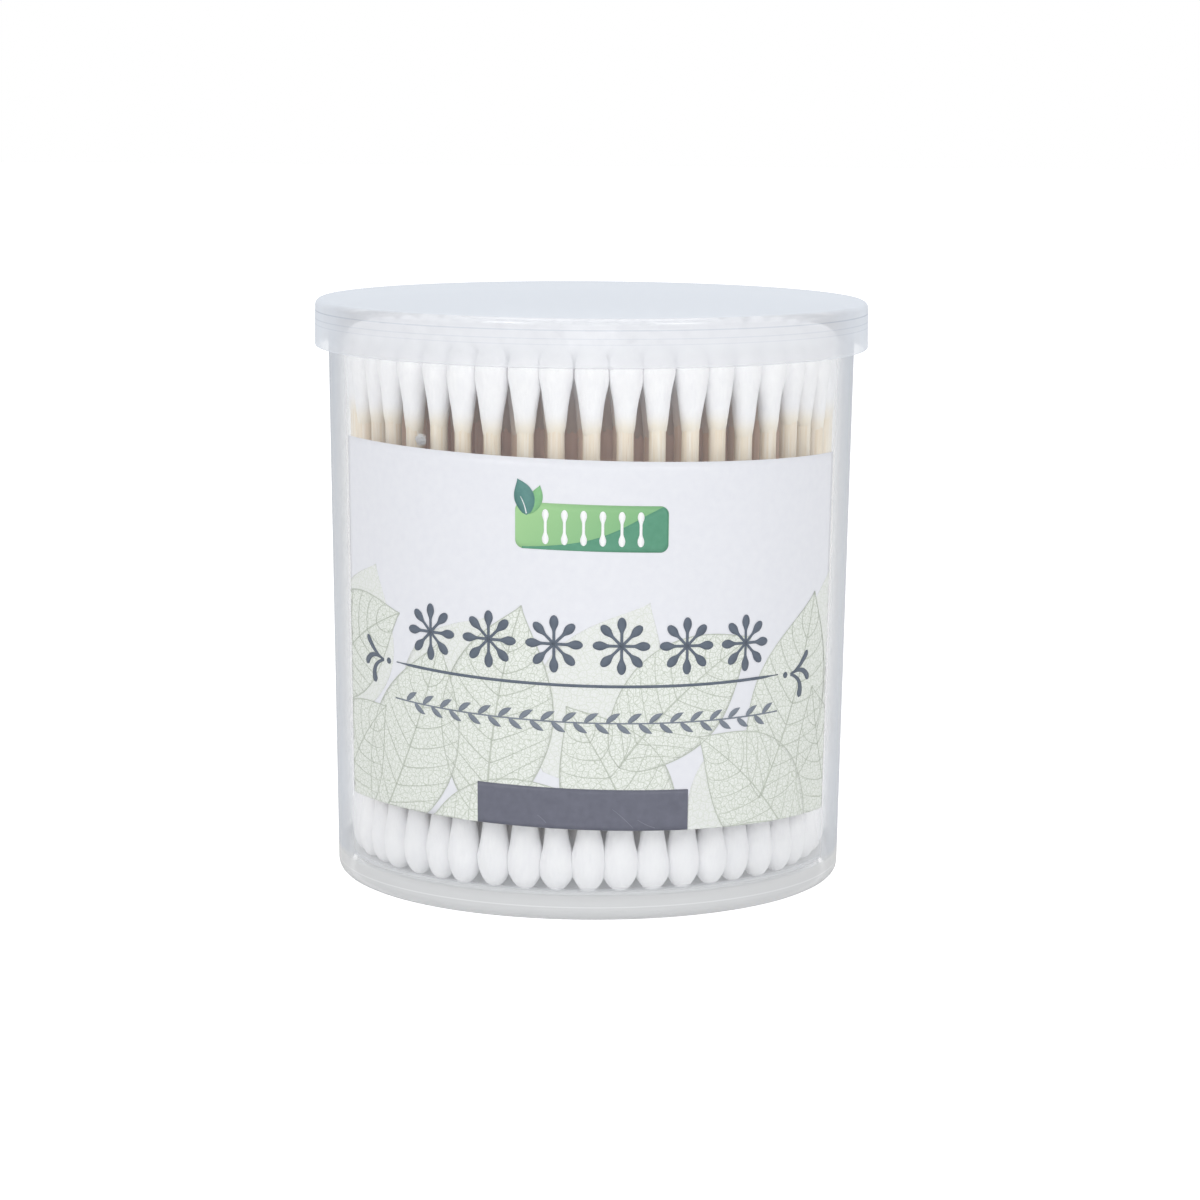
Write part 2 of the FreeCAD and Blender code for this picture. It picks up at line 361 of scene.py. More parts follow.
greyInk = makePaint("grey_ink", (fromScreen(118, 126, 138), fromScreen(128, 136, 148)))
plateInk = makePaint("plate_ink", (fromScreen(98, 100, 114), fromScreen(108, 110, 124)))
veinInk = makePaint("vein_ink", (fromScreen(190, 197, 184), fromScreen(200, 206, 194)))
leafInk = makeLeafInk("leaf_net_ink", {
    "field": fromScreen(236, 239, 234), "vein": fromScreen(190, 198, 182), "cells": 1.25, "fine": 2.5,
    "fineShare": 0.55, "width": 0.075})
paleInk = makeLeafInk("pale_leaf_ink", {
    "field": fromScreen(233, 235, 233), "vein": fromScreen(214, 219, 208), "cells": 1.1, "fine": 2.2,
    "fineShare": 0.55, "width": 0.075})
badgeInk = makeBadgeInk()
deepGreenInk = makePaint("deep_green_ink", (fromScreen(84, 146, 118), fromScreen(94, 156, 128)))
tealInk = makePaint("teal_leaf_ink", (fromScreen(84, 132, 128), fromScreen(98, 146, 140)))
freshGreenInk = makePaint("fresh_green_ink", (fromScreen(124, 182, 128), fromScreen(140, 196, 140)))
scuffInk = makePaint("plate_scuffs", (fromScreen(128, 130, 142), fromScreen(140, 142, 153)))
whiteInk = makePaint("white_ink", (fromScreen(244, 246, 246), fromScreen(250, 251, 251)))
print("materials made")


# Tub and lid

draft = math.tan(math.radians(0.97))
tub = {"foot": 35.115, "wall": 1.1, "floorTop": 3.2, "floorUnder": 2.0, "footWidth": 2.5, "footCorner": 1.5,
       "footInner": 0.3, "floorCorner": 0.8, "rim": 0.3, "rimHeight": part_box("tub")[1].z / mm,
       "beadDrop": 1.7, "beadWidth": 1.3, "beadHeight": 0.3, "segments": 288}


def outerRadius(z):
    return tub["foot"] + z * draft


def wallBump(radiusAt, middle, width, height, soft):
    # Section corners of a low ring on a wall.
    low, high, crown = middle - width / 2, middle + width / 2, width / 6
    return [(radiusAt(low), low, soft), (radiusAt(middle - crown) + height, middle - crown, soft),
            (radiusAt(middle + crown) + height, middle + crown, soft), (radiusAt(high), high, soft)]


def outerMark(points, middleOfWall):
    # 1 on the outer face of a wall and 0 on its inner face: the milky body is painted on the outer one, and
    # the inner one only shines.
    radius = np.hypot(points[:, 0], points[:, 1])
    return (radius > middleOfWall(points[:, 2])).astype(float)


def makeTub():
    # Section turned about the axis: gate mark, raised floor, foot ring, drafted wall, bead, rim, inside.
    top, wall = tub["rimHeight"], tub["wall"]
    footBore = tub["foot"] - tub["footWidth"]
    gate = {"dimple": 3.0, "depth": 0.35, "nub": 0.8, "nubHeight": 0.25}
    under = tub["floorUnder"] + gate["depth"]
    corners = [(0, under - gate["nubHeight"], 0), (gate["nub"], under - gate["nubHeight"], 0.08),
               (gate["nub"] + 0.05, under, 0.05), (gate["dimple"], under, 0.1),
               (gate["dimple"] + gate["depth"], tub["floorUnder"], 0.1),
               (footBore - tub["floorUnder"] * draft, tub["floorUnder"], 0.25),
               (footBore, 0, tub["footInner"]), (tub["foot"], 0, tub["footCorner"])]
    corners += wallBump(outerRadius, top - tub["beadDrop"], tub["beadWidth"], tub["beadHeight"], 0.35)
    corners += [(outerRadius(top), top, tub["rim"]), (outerRadius(top) - wall, top, tub["rim"]),
                (outerRadius(tub["floorTop"]) - wall, tub["floorTop"], tub["floorCorner"]),
                (0, tub["floorTop"], 0)]
    points, faces = revolved(roundedLine(corners), tub["segments"])
    outer = outerMark(points, lambda z: outerRadius(z) - wall / 2)
    return putMesh("tub_wall", points, faces, tubPlastic, ["tub"], marks={"outer": outer})


def makeLid():
    # Section turned about the axis: panel underside, skirt with its snap ridge, outer edge, top.
    lid = {"top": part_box("lid")[1].z / mm, "skirtFoot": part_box("lid")[0].z / mm, "skirtWall": 1.2,
           "slope": math.tan(math.radians(0.5)), "edge": 0.9, "skirtEdge": 0.3, "ridgeHeight": 0.22,
           "ridgeWidth": 1.1, "snapClearance": 0.1, "ridgeDrop": 0.15}
    rim = tub["rimHeight"]
    beadMiddle = rim - tub["beadDrop"]
    ridgeMiddle = beadMiddle - tub["beadWidth"] / 2 - lid["ridgeDrop"] - lid["ridgeWidth"] / 2
    bore = outerRadius(beadMiddle) + tub["beadHeight"] + lid["snapClearance"] + lid["ridgeHeight"]

    def inside(z):
        return bore + (ridgeMiddle - z) * lid["slope"]

    def outside(z):
        return inside(z) + lid["skirtWall"]

    foot, top = lid["skirtFoot"], lid["top"]
    corners = [(0, rim, 0), (inside(rim), rim, 0.28)]
    corners += reversed(wallBump(inside, ridgeMiddle, lid["ridgeWidth"], -lid["ridgeHeight"], 0.08))
    corners += [(inside(foot), foot, lid["skirtEdge"]), (outside(foot), foot, lid["skirtEdge"]),
                (outside(top), top, lid["edge"]), (0, top, 0)]
    points, faces = revolved(roundedLine(corners), tub["segments"])
    outer = outerMark(points, lambda z: inside(z) + lid["skirtWall"] / 2)
    outer = np.maximum(outer, points[:, 2] > top - 0.1)
    return putMesh("lid_shell", points, faces, lidPlastic, ["lid"], marks={"outer": outer})


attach(makeTub(), "tub")
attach(makeLid(), "lid")
print("tub and lid made")


# Swabs

swab = {"length": 73.0, "stick": 1.15, "tip": 2.0, "nose": 4.5, "neck": 1.175, "stop": 2.6,
        "lowerTip": {"nose": 4.2, "tipLength": 11.8, "ease": 1.1, "waist": 0.15, "press": 0.24, "blunt": 2.35},
        "upperTip": {"nose": 4.6, "tipLength": 12.3, "ease": 1.15, "waist": 0.12, "press": 0.16, "blunt": 2.25},
        "gap": 0.08, "foot": tub["floorTop"] + 0.05, "rings": 8, "innerSwabs": 4, "added": 6, "twist": 0.37,
        "sideTilt": 0.0036, "mostTilt": 0.005, "shift": 0.1, "jitter": 0.2, "setBack": 0.35, "stretch": 0.08,
        # Painted shade of the inner rings: on the tips from a height over a run, on the sticks by a share.
        "unlike": 0.02, "frayOver": 2.4, "frayDepth": 0.022, "thinFrom": 2.9, "thinOver": 2.4, "shadeFrom": 5.0,
        "shadeOver": 4.0, "stickShades": 0.09, "stickPaintedShade": 0.9,
        # Each lump or ripple: share of the radius, waves round, turns of the wave per mm of height.
        "lumps": ((0.018, 2, 0.5), (0.014, 3, -0.9), (0.010, 5, 1.3), (0.014, 0, 0.8)),
        "ripples": ((0.02, 2, 0.05), (0.015, 0, 0.11))}
ringStep = 2 * swab["tip"] + swab["gap"]
firstRing = ringStep / math.sqrt(2)
lastRing = firstRing + (swab["rings"] - 1) * ringStep


def ringPlaces(ring):
    # Foot points (n, 3) and axes (n, 3, 3) of a ring's swabs, which lean out with the drafted wall: rows
    # of the axes are outward, sideways and along the stick. Each swab tilts a little its own way, and the
    # inner rings are turned by part of a step, so that no gap runs straight through the pack.
    radius = firstRing + (ring - 1) * ringStep
    count = swab["innerSwabs"] + (ring - 1) * swab["added"]
    twist = swab["twist"] * (swab["rings"] - ring) ** 2 % 1
    turn = math.radians(-90) + 2 * math.pi * (np.arange(count) + 0.5 * (ring % 2) + twist) / count
    turn = turn + dice.uniform(-swab["jitter"], swab["jitter"], count) / radius
    back = dice.uniform(0, swab["setBack"], (count, 1)) if ring == swab["rings"] else 0.0
    out = np.stack([np.cos(turn), np.sin(turn), 0 * turn], axis=1)
    side = np.stack([-np.sin(turn), np.cos(turn), 0 * turn], axis=1)
    up = np.array([0.0, 0.0, 1.0])
    lean = math.atan(radius * draft / lastRing)
    wander = dice.normal(0, swab["sideTilt"], (count, 1)).clip(-swab["mostTilt"], swab["mostTilt"])
    along = out * math.sin(lean) + up * math.cos(lean) + side * wander
    along /= np.linalg.norm(along, axis=1)[:, None]
    across = side - (side * along).sum(1)[:, None] * along
    across /= np.linalg.norm(across, axis=1)[:, None]
    outward = np.cross(across, along)
    foot = out * (radius - back - swab["nose"] * radius * draft / lastRing) - side * wander * swab["length"] / 2
    foot[:, 2] = swab["foot"] + dice.uniform(0, swab["shift"], count)
    return foot, np.stack([outward, across, along], axis=1)


def placed(local, places):
    # Local points (n, p, 3) of n swabs carried to their places.
    foot, axes = places
    return (np.einsum("npk,nkj->npj", local, axes) + foot[:, None]).reshape(-1, 3)


def grainOf(local, apart=31.0):
    # Local coordinates (n, p, 3) with every swab shifted to its own stretch of the pattern.
    shift = np.arange(len(local))[:, None, None] * np.array([0.0, 0.0, apart])
    return (local + shift).reshape(-1, 3)


def tipRadius(height, form):
    # A slightly blunt half ellipse up to the widest place, then a taper that eases into the neck. The
    # lower tips are pressed blunter by the weight on them.
    blunt = form["blunt"]
    nose = swab["tip"] * np.clip(1 - np.clip(1 - height / form["nose"], 0, 1) ** blunt, 0, 1) ** (1 / blunt)
    run = np.clip((height - form["nose"]) / (form["tipLength"] - form["nose"]), 0, 1)
    fall = run ** form["ease"] + form["waist"] * np.sin(math.pi * run)
    return np.where(height < form["nose"], nose, swab["tip"] - (swab["tip"] - swab["neck"]) * fall)


def pressed(radius, form):
    # How much wider a tip of the outer ring is sideways: most where it is thick and meets its neighbours.
    return 1 + form["press"] * (radius / swab["tip"]).clip(0, 1) ** 2


def crowding(ring):
    # How far a ring lies in the crowded middle, which gets a painted brown shade on its tips and sticks: 0 for the
    # outer ring.
    return 1 - 0.5 ** (swab["rings"] - ring)


def wound(waves, t, h, phase):
    # Sum of waves that wind round a swab at turn t and height h.
    return sum(size * np.sin(count * t + rise * h + start) for (size, count, rise), start in zip(waves, phase))


def makeTips(ring, upper, rows, cols):
    # Each tip is a grid of height by turn: radius from tipRadius, times lumps that wind round the tip,
    # flattened where neighbours in the outer ring press on each other. It closes at both poles.
    places = ringPlacesOf[ring]
    count = len(places[0])
    part = "upper" if upper else "lower"
    form = swab[part + "Tip"]
    noseRows = rows // 2
    lean = np.linspace(0, math.pi / 2, noseRows)
    heights = np.concatenate([form["nose"] * (1 - np.cos(lean)),
                              np.linspace(form["nose"], form["tipLength"], rows - noseRows + 1)[1:],
                              form["tipLength"] + np.array([0.03, 0.05])])
    radii = np.concatenate([tipRadius(heights[:-1], form), [0.0]])
    turn = np.arange(cols) * 2 * math.pi / cols
    phase = dice.uniform(0, 2 * math.pi, (4, count, 1, 1))
    h, t = heights[None, :, None], turn[None, None, :]
    lumps = wound(swab["lumps"], t, h, phase)
    # The cotton runs out unevenly on the stick.
    frayed = np.clip((h - form["tipLength"] + swab["frayOver"]) / swab["frayOver"], 0, 1)
    unlike = dice.uniform(-swab["unlike"], swab["unlike"], (count, 1, 1))
    r = radii[None, :, None] * (1 + (lumps + unlike) * (1 - frayed))
    r = r - swab["frayDepth"] * frayed ** 3 * (3 + np.sin(3 * t + phase[1]) + np.sin(4 * t + phase[2]))
    r = np.maximum(r, 0)
    press = pressed(r, form) if ring == swab["rings"] else 1.0
    x, y = r * np.cos(t), r * np.sin(t) * press
    stretch = 1 + dice.uniform(-swab["stretch"], swab["stretch"], (count, 1, 1))
    local = np.stack([x, y, np.broadcast_to(h * stretch, x.shape)], axis=-1)
    if upper:
        local = local * [1, -1, -1] + [0, 0, swab["length"]]
    local = local.reshape(count, -1, 3)
    size = local.shape[1]
    faces = repeated(lattice(len(heights), cols, True), count, size)
    # The stick shines through where the cotton is thin, and the inner tips get painted shade away from the ends.
    thin = np.clip((heights - form["tipLength"] + swab["thinFrom"]) / swab["thinOver"], 0, 1) ** 1.3
    paintedShade = 0.85 * crowding(ring) * np.clip((heights - swab["shadeFrom"]) / swab["shadeOver"], 0, 1)
    thin, paintedShade = (np.tile(np.repeat(values, cols), count) for values in (thin, paintedShade))
    piece = putMesh(f"{part}_cotton_{ring}", placed(local, places), faces, cotton,
                    [f"{part}_tips_ring_{ring}"],
                    marks={"grain": grainOf(local), "thin": thin, "paintedShade": paintedShade})
    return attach(piece, "tub")


def makeSticks(ring, rows, cols):
    # A stick is a grid of height by turn with a slightly uneven radius; its ends are hidden in the cotton.
    places = ringPlacesOf[ring]
    count = len(places[0])
    heights = np.linspace(swab["stop"], swab["length"] - swab["stop"], rows)
    heights = np.concatenate([heights[:1], heights, heights[-1:]])
    radii = np.concatenate([[0.0], np.full(rows, swab["stick"]), [0.0]])
    turn = np.arange(cols) * 2 * math.pi / cols
    phase = dice.uniform(0, 2 * math.pi, (2, count, 1, 1))
    h, t = heights[None, :, None], turn[None, None, :]
    r = radii[None, :, None] * (1 + wound(swab["ripples"], t, h, phase))
    local = np.stack([r * np.cos(t), r * np.sin(t), np.broadcast_to(h, r.shape)], axis=-1)
    local = local.reshape(count, -1, 3)
    size = local.shape[1]
    faces = repeated(lattice(len(heights), cols, True), count, size)
    # A random tone for each stick, plus painted shade that grows towards the middle of the pack.
    tone = np.repeat(dice.uniform(0, swab["stickShades"], count) + swab["stickPaintedShade"] * crowding(ring), size)
    piece = putMesh(f"bamboo_sticks_{ring}", placed(local, places), faces, bamboo,
                    [f"sticks_ring_{ring}"], marks={"grain": grainOf(local), "tone": tone})
    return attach(piece, "tub")


def threads(core, outward, thickness):
    # Thin three-sided tubes along core lines (n, steps, 3), tapered at both ends.
    n, steps = core.shape[:2]
    share = np.linspace(0, 1, steps)[None, :, None]
    thick = (thickness * np.sin(math.pi * share).clip(0, 1) ** 0.7)[..., None]
    corner = (np.arange(3) * 2 * math.pi / 3)[:, None]
    upward = np.array([0.0, 0.0, 1.0])
    tube = core[:, :, None] + thick * (outward[:, :, None] * np.cos(corner) + upward * np.sin(corner))
    return tube.reshape(-1, 3), repeated(lattice(steps, 3, True), n, steps * 3)


def makeFuzz(upper):
    # Loose fibres on the outer tips: each follows a short curve that leaves the surface, runs round the
    # tip and comes back down to it, with its ends sunk in the cotton.
    fuzz = {"perTip": 16, "height": (0.6, 9.0), "sweep": (0.3, 0.9), "rise": (-1.2, 1.2), "lift": (0.08, 0.22),
            "sunk": 0.03, "thickness": 0.014}
    places = ringPlacesOf[swab["rings"]]
    tips = len(places[0])
    count = tips * fuzz["perTip"]
    part = "upper" if upper else "lower"
    form = swab[part + "Tip"]
    start = dice.uniform(0, 2 * math.pi, count)
    height = dice.uniform(*fuzz["height"], count)
    sweep = dice.uniform(*fuzz["sweep"], count) * dice.choice([-1, 1], count)
    rise = dice.uniform(*fuzz["rise"], count)
    lift = dice.uniform(*fuzz["lift"], count)
    step = np.linspace(0, 1, 5)[None, :]
    h = height[:, None] + rise[:, None] * step
    t = start[:, None] + sweep[:, None] * step
    arch = lift[:, None] * np.sin(math.pi * step) ** 0.7 - fuzz["sunk"]
    r = tipRadius(np.clip(h, 0.1, form["tipLength"]), form) + arch
    core = np.stack([r * np.cos(t), pressed(r, form) * r * np.sin(t), h], axis=-1)
    points, faces = threads(core, np.stack([np.cos(t), np.sin(t), 0 * t], axis=-1), fuzz["thickness"])
    if upper:
        points = points * [1, -1, -1] + [0, 0, swab["length"]]
    local = points.reshape(tips, -1, 3)
    piece = putMesh(f"{part}_cotton_fuzz", placed(local, places), faces, cotton,
                    marks={"grain": grainOf(local)})
    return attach(piece, "tub")


def makeWisp():
    # A loose tuft that lies behind the wall over the label's left corner: curled threads that leave one
    # small heap in all directions.
    wisp = {"turn": math.radians(-131.5), "radius": 33.9, "height": 62.9, "threads": 120, "reach": 1.25,
            "flatness": 0.75, "curl": 4.5, "depth": 0.3, "thickness": 0.06}
    count = wisp["threads"]
    step = np.linspace(0, 1, 7)[None, :]
    start = dice.uniform(0, 2 * math.pi, (count, 1))
    curl = dice.uniform(-wisp["curl"], wisp["curl"], (count, 1))
    reach = wisp["reach"] * dice.uniform(0.35, 1.0, (count, 1)) * step
    side = reach * np.cos(start + curl * step)
    rise = wisp["flatness"] * reach * np.sin(start + curl * step)
    depth = dice.uniform(-wisp["depth"], wisp["depth"], (count, 1)) * (1 - 0.5 * step)
    out = np.array([math.cos(wisp["turn"]), math.sin(wisp["turn"]), 0.0])
    along = np.array([-out[1], out[0], 0.0])
    core = (out * (wisp["radius"] + depth)[..., None] + along * side[..., None]
            + np.array([0, 0, 1.0]) * (wisp["height"] + rise)[..., None])
    points, faces = threads(core, np.broadcast_to(out, core.shape), wisp["thickness"])
    piece = putMesh("loose_cotton_wisp", points, faces, cotton, marks={"grain": points})
    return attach(piece, "tub")


# Rows and columns of a stick and of a tip, from the ring that shows through the wall inwards.
grids = [((8, 14), (20, 22)), ((8, 14), (10, 14)), ((3, 8), (8, 12))]
ringPlacesOf = {ring: ringPlaces(ring) for ring in range(1, swab["rings"] + 1)}
for ring in ringPlacesOf:
    stickGrid, tipGrid = grids[min(swab["rings"] - ring, 2)]
    makeSticks(ring, *stickGrid)
    for upper in (False, True):
        makeTips(ring, upper, *tipGrid)
for upper in (False, True):
    makeFuzz(upper)
makeWisp()
print("swabs made")


# Label and its print

label = {"bottom": 12.5, "height": 49.0, "wrap": 128.6, "skew": 1.6, "gap": 0.03, "thickness": 0.12,
         "sheetShare": 0.95, "cols": 120, "rows": 36, "ink": 0.008, "sideMargin": 0.05, "endMargin": 0.03}
labelMiddle = label["bottom"] + label["height"] / 2
labelRadius = outerRadius(labelMiddle) + label["gap"] + label["thickness"]
labelHalf = labelRadius * math.radians(label["wrap"] / 2)
tilt = math.radians(label["skew"])


def onWall(s, h, lift):
    # Label coordinates in mm, s round the wall from the middle of the front and h up from the foot, to
    # points on the drafted wall; the whole label is turned by its skew.
    turn = s / labelRadius
    x = labelRadius * np.sin(turn)
    z = labelMiddle + ((h - labelMiddle) - x * math.sin(tilt)) / math.cos(tilt)
    radius = outerRadius(z) + label["gap"] + label["thickness"] + lift
    return np.stack([radius * np.sin(turn), -radius * np.cos(turn), z], axis=-1)


def thickened(piece, thickness):
    solid = piece.modifiers.new("thickness", "SOLIDIFY")
    solid.thickness = thickness * mm
    solid.offset = -1.0
    return piece


def makeLabel():
    # A grid over the label's width and height, laid on the wall.
    s = np.linspace(-labelHalf, labelHalf, label["cols"])
    h = np.linspace(label["bottom"], label["bottom"] + label["height"], label["rows"])
    s, h = np.meshgrid(s, h)
    points = onWall(s, h, 0.0).reshape(-1, 3)
    faces = lattice(label["rows"], label["cols"], False)
    piece = putMesh("label_sheet", points, faces, labelFilm, ["label"])
    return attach(thickened(piece, label["thickness"] * label["sheetShare"]), "tub")


def acrossOf(path):
    # Unit vectors across a path of (s, h) points.
    along = np.gradient(path, axis=0)
    along /= np.linalg.norm(along, axis=1)[:, None]
    return np.stack([-along[:, 1], along[:, 0]], axis=1)


def band(path, halfWidth, cols=3):
    # A flat shape as a path of (s, h) points and its half width at each: point (i, j) lies across the
    # path at i by the fraction j of the half width.
    half = np.broadcast_to(halfWidth, len(path))[:, None] * np.linspace(1, -1, cols)
    grid = path[:, None] + acrossOf(path)[:, None] * half[..., None]
    return grid.reshape(-1, 2), lattice(len(path), cols, False)


def curve(start, control, end, steps=12):
    # Quadratic curve from start to end, drawn towards control.
    t = np.linspace(0, 1, steps)[:, None]
    return (1 - t) ** 2 * np.array(start) + 2 * t * (1 - t) * np.array(control) + t ** 2 * np.array(end)


def printed(name, shapes, lift, material):
    # Shapes of one ink, cut off at the label's edge, as a thin film on the label.
    points, faces = joined(shapes)
    reach = labelHalf - label["sideMargin"]
    low, high = label["bottom"] + label["endMargin"], label["bottom"] + label["height"] - label["endMargin"]
    points = np.stack([points[:, 0].clip(-reach, reach), points[:, 1].clip(low, high)], axis=1)
    piece = putMesh(name, onWall(points[:, 0], points[:, 1], lift), faces, material,
                    uv=points, weld=False)
    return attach(thickened(piece, label["ink"]), "tub")


def blade(base, tip, width, bend, steps=40):
    # Centre line and half width of a leaf: the line bows to one side, the width rises fast and round from
    # the stalk and thins to a drawn-out point.
    base, tip = np.array(base, float), np.array(tip, float)
    span = tip - base
    path = curve(base, (base + tip) / 2 + bend * np.array([-span[1], span[0]]), tip, steps)
    t = np.linspace(0, 1, steps)
    half = t ** 0.52 * (1 - t ** 2.6) ** 1.25
    return path, width / 2 * half / half.max()


def swabShape(middle, length, tipHalf, stickHalf, turn, budShare=0.3, steps=56):
    # Outline of a small swab at an angle from upright: at each end a half-round nose, then a cosine taper
    # that eases into the stick.
    direction = np.array([math.sin(turn), math.cos(turn)])
    middle = np.array(middle, float)
    run = 0.5 - 0.5 * np.cos(np.linspace(0, math.pi, steps))  # points crowd together at the noses
    path = middle + direction * length * (run[:, None] - 0.5)
    fromEnd = np.minimum(run, 1 - run) * length
    nose, bud = 1.6 * tipHalf, budShare * length
    tip = tipHalf * np.sqrt(np.clip(1 - (1 - fromEnd / nose).clip(0, 1) ** 2, 0, 1))
    ease = 0.5 + 0.5 * np.cos(math.pi * np.clip((fromEnd - nose) / (bud - nose), 0, 1))
    return band(path, np.where(fromEnd < nose, tip, stickHalf + (tipHalf - stickHalf) * ease))


def veinsOf(leaf):
    # Veins of a leaf in its own coordinates, t along it and u across: an outline, a midrib and side veins
    # that leave the midrib at t and bend towards the tip as u goes out to the edge.
    vein = {"pairs": 8, "first": 0.05, "last": 0.78, "climb": 0.2, "reach": 0.97, "edge": 0.99, "midrib": 0.13,
            "side": 0.062, "outline": 0.055}
    path, half = blade(*leaf)
    across = acrossOf(path)
    own = np.linspace(0, 1, len(path))

    def place(t, u):
        t = np.clip(t, 0, 1)
        at = np.stack([np.interp(t, own, path[:, k]) for k in (0, 1)], axis=1)
        out = np.stack([np.interp(t, own, across[:, k]) for k in (0, 1)], axis=1)
        return at + out * (np.interp(t, own, half) * u)[:, None]

    run = np.linspace(0, 1, 14)
    shapes = [band(path, vein["midrib"] - 0.08 * own)]
    shapes += [band(place(own, 0 * own + edge), vein["outline"]) for edge in (vein["edge"], -vein["edge"])]
    for start in np.linspace(vein["first"], vein["last"], vein["pairs"]):
        t = start + (vein["climb"] - 0.08 * start) * run ** 1.25
        shapes += [band(place(t, side * vein["reach"] * run), vein["side"] - 0.03 * run) for side in (-1, 1)]
    return shapes


def makeLeafPrint():
    # Broad leaves that stand and lean over the label's lower edge: (base, tip, width, bend).
    leaves = [((-49, 26), (-28, 39), 14.0, 0.10), ((-33, 9), (-21, 36), 15.5, -0.08),
              ((-46, 7), (-31, 26), 15.0, 0.12), ((-24, 3), (-1, 17), 13.5, 0.12),
              ((-14, 13), (-9, 42), 16.0, 0.07), ((8, 6), (-3, 29), 15.0, -0.10),
              ((4, 21), (23, 38), 14.0, 0.12), ((33, 7), (15, 25), 15.0, -0.10),
              ((25, 16), (36, 43), 16.0, -0.08), ((46, 6), (36, 30), 14.5, 0.10),
              ((10, 3), (33, 12), 12.5, -0.10)]
    ghosts = [((-40, 24), (-33, 45), 16.0, 0.05), ((-24, 20), (-14, 40), 15.0, 0.05),
              ((-6, 20), (8, 43), 16.0, -0.05), ((40, 20), (41, 46), 16.0, 0.06),
              ((16, 8), (30, 26), 16.0, 0.05)]
    printed("print_leaf_shadows", [band(*blade(*g), cols=21) for g in ghosts], 0.014, paleInk)
    veins = []
    for n, leaf in enumerate(leaves):  # leaves that overlap have their faces at different heights
        printed(f"print_leaf_{n + 1}", [band(*blade(*leaf), cols=19)], 0.020 + 0.007 * (n % 4), leafInk)
        veins += veinsOf(leaf)
    printed("print_leaf_veins", veins, 0.049, veinInk)


def makeTitlePrint():
    # A row of stars, each of four crossed swabs, where a pack's name stands, a ruled line under it with a
    # three-stroke ornament at each end, and a thin sprig below.
    title = {"left": -22.4, "right": 22.0, "middle": 37.2, "stars": 6, "length": 7.6, "turns": (0, 45, 90, 135),
             "tip": 0.6, "stick": 0.19, "rule": ((-28.7, 32.3), (0, 31.2), (28.0, 32.45)), "ruleHalf": 0.19,
             "hearts": ((-1, -30.3), (1, 29.5)), "stem": ((-29.0, 27.4), (0, 26.3), (28.0, 27.5)), "stemHalf": 0.09}
    shapes = []
    for s in np.linspace(title["left"], title["right"], title["stars"]):
        for turn in np.radians(title["turns"]):
            shapes.append(swabShape((s, title["middle"]), title["length"], title["tip"], title["stick"], turn))
    fade = np.clip(np.minimum(np.arange(60), np.arange(60)[::-1]) / 3, 0.35, 1)
    shapes.append(band(curve(*title["rule"], 60), title["ruleHalf"] * fade))
    for side, heart in title["hearts"]:
        drop = np.linspace((heart - side * 0.45, 32.2), (heart + side * 0.45, 32.25), 9)
        shapes.append(band(drop, 0.42 * np.sqrt(np.clip(1 - np.linspace(-1, 1, 9) ** 2, 0.02, 1))))
        root = np.array([heart + side * 1.1, 32.2])
        for reach, control, wide in (((3.9, 2.9), (2.0, 0.5), 0.50), ((4.2, -1.1), (3.0, 1.2), 0.55),
                                     ((1.9, -3.3), (3.1, -0.9), 0.62)):
            stroke = curve(root, root + np.array(control) * (side, 1), root + np.array(reach) * (side, 1), 24)
            t = np.linspace(0, 1, 24)
            blob = np.sqrt(np.clip(1.0 - np.clip((t - 0.86) / 0.14, 0, 1) ** 2, 0.01, 1))
            shapes.append(band(stroke, wide * (0.3 + 0.7 * t ** 1.4) * blob))
    printed("print_title", shapes, 0.060, slateInk)

    stem = curve(*title["stem"], 80)
    sprig = [band(stem, title["stemHalf"])]
    for n, spot in enumerate(stem[3:-3:2]):
        side = (-1) ** n
        sprig.append(band(*blade(spot, spot + np.array([1.9, 1.35 * side]), 0.75, 0.12 * side, 10)))
    printed("print_sprig", sprig, 0.060, greyInk)


def roundedPlate(left, right, low, high, corner, steps=60, cols=7):
    # A rectangle with round corners, as a level path whose half width falls on a quarter circle at the ends.
    s = left + (right - left) * (1 - np.cos(np.linspace(0, math.pi, steps))) / 2
    edge = np.clip(np.minimum(s - left, right - s), 0, corner)
    half = (high - low) / 2 - corner + np.sqrt(np.clip(corner ** 2 - (corner - edge) ** 2, 0, None))
    return band(np.stack([s, np.full(steps, (low + high) / 2)], axis=1), half, cols)


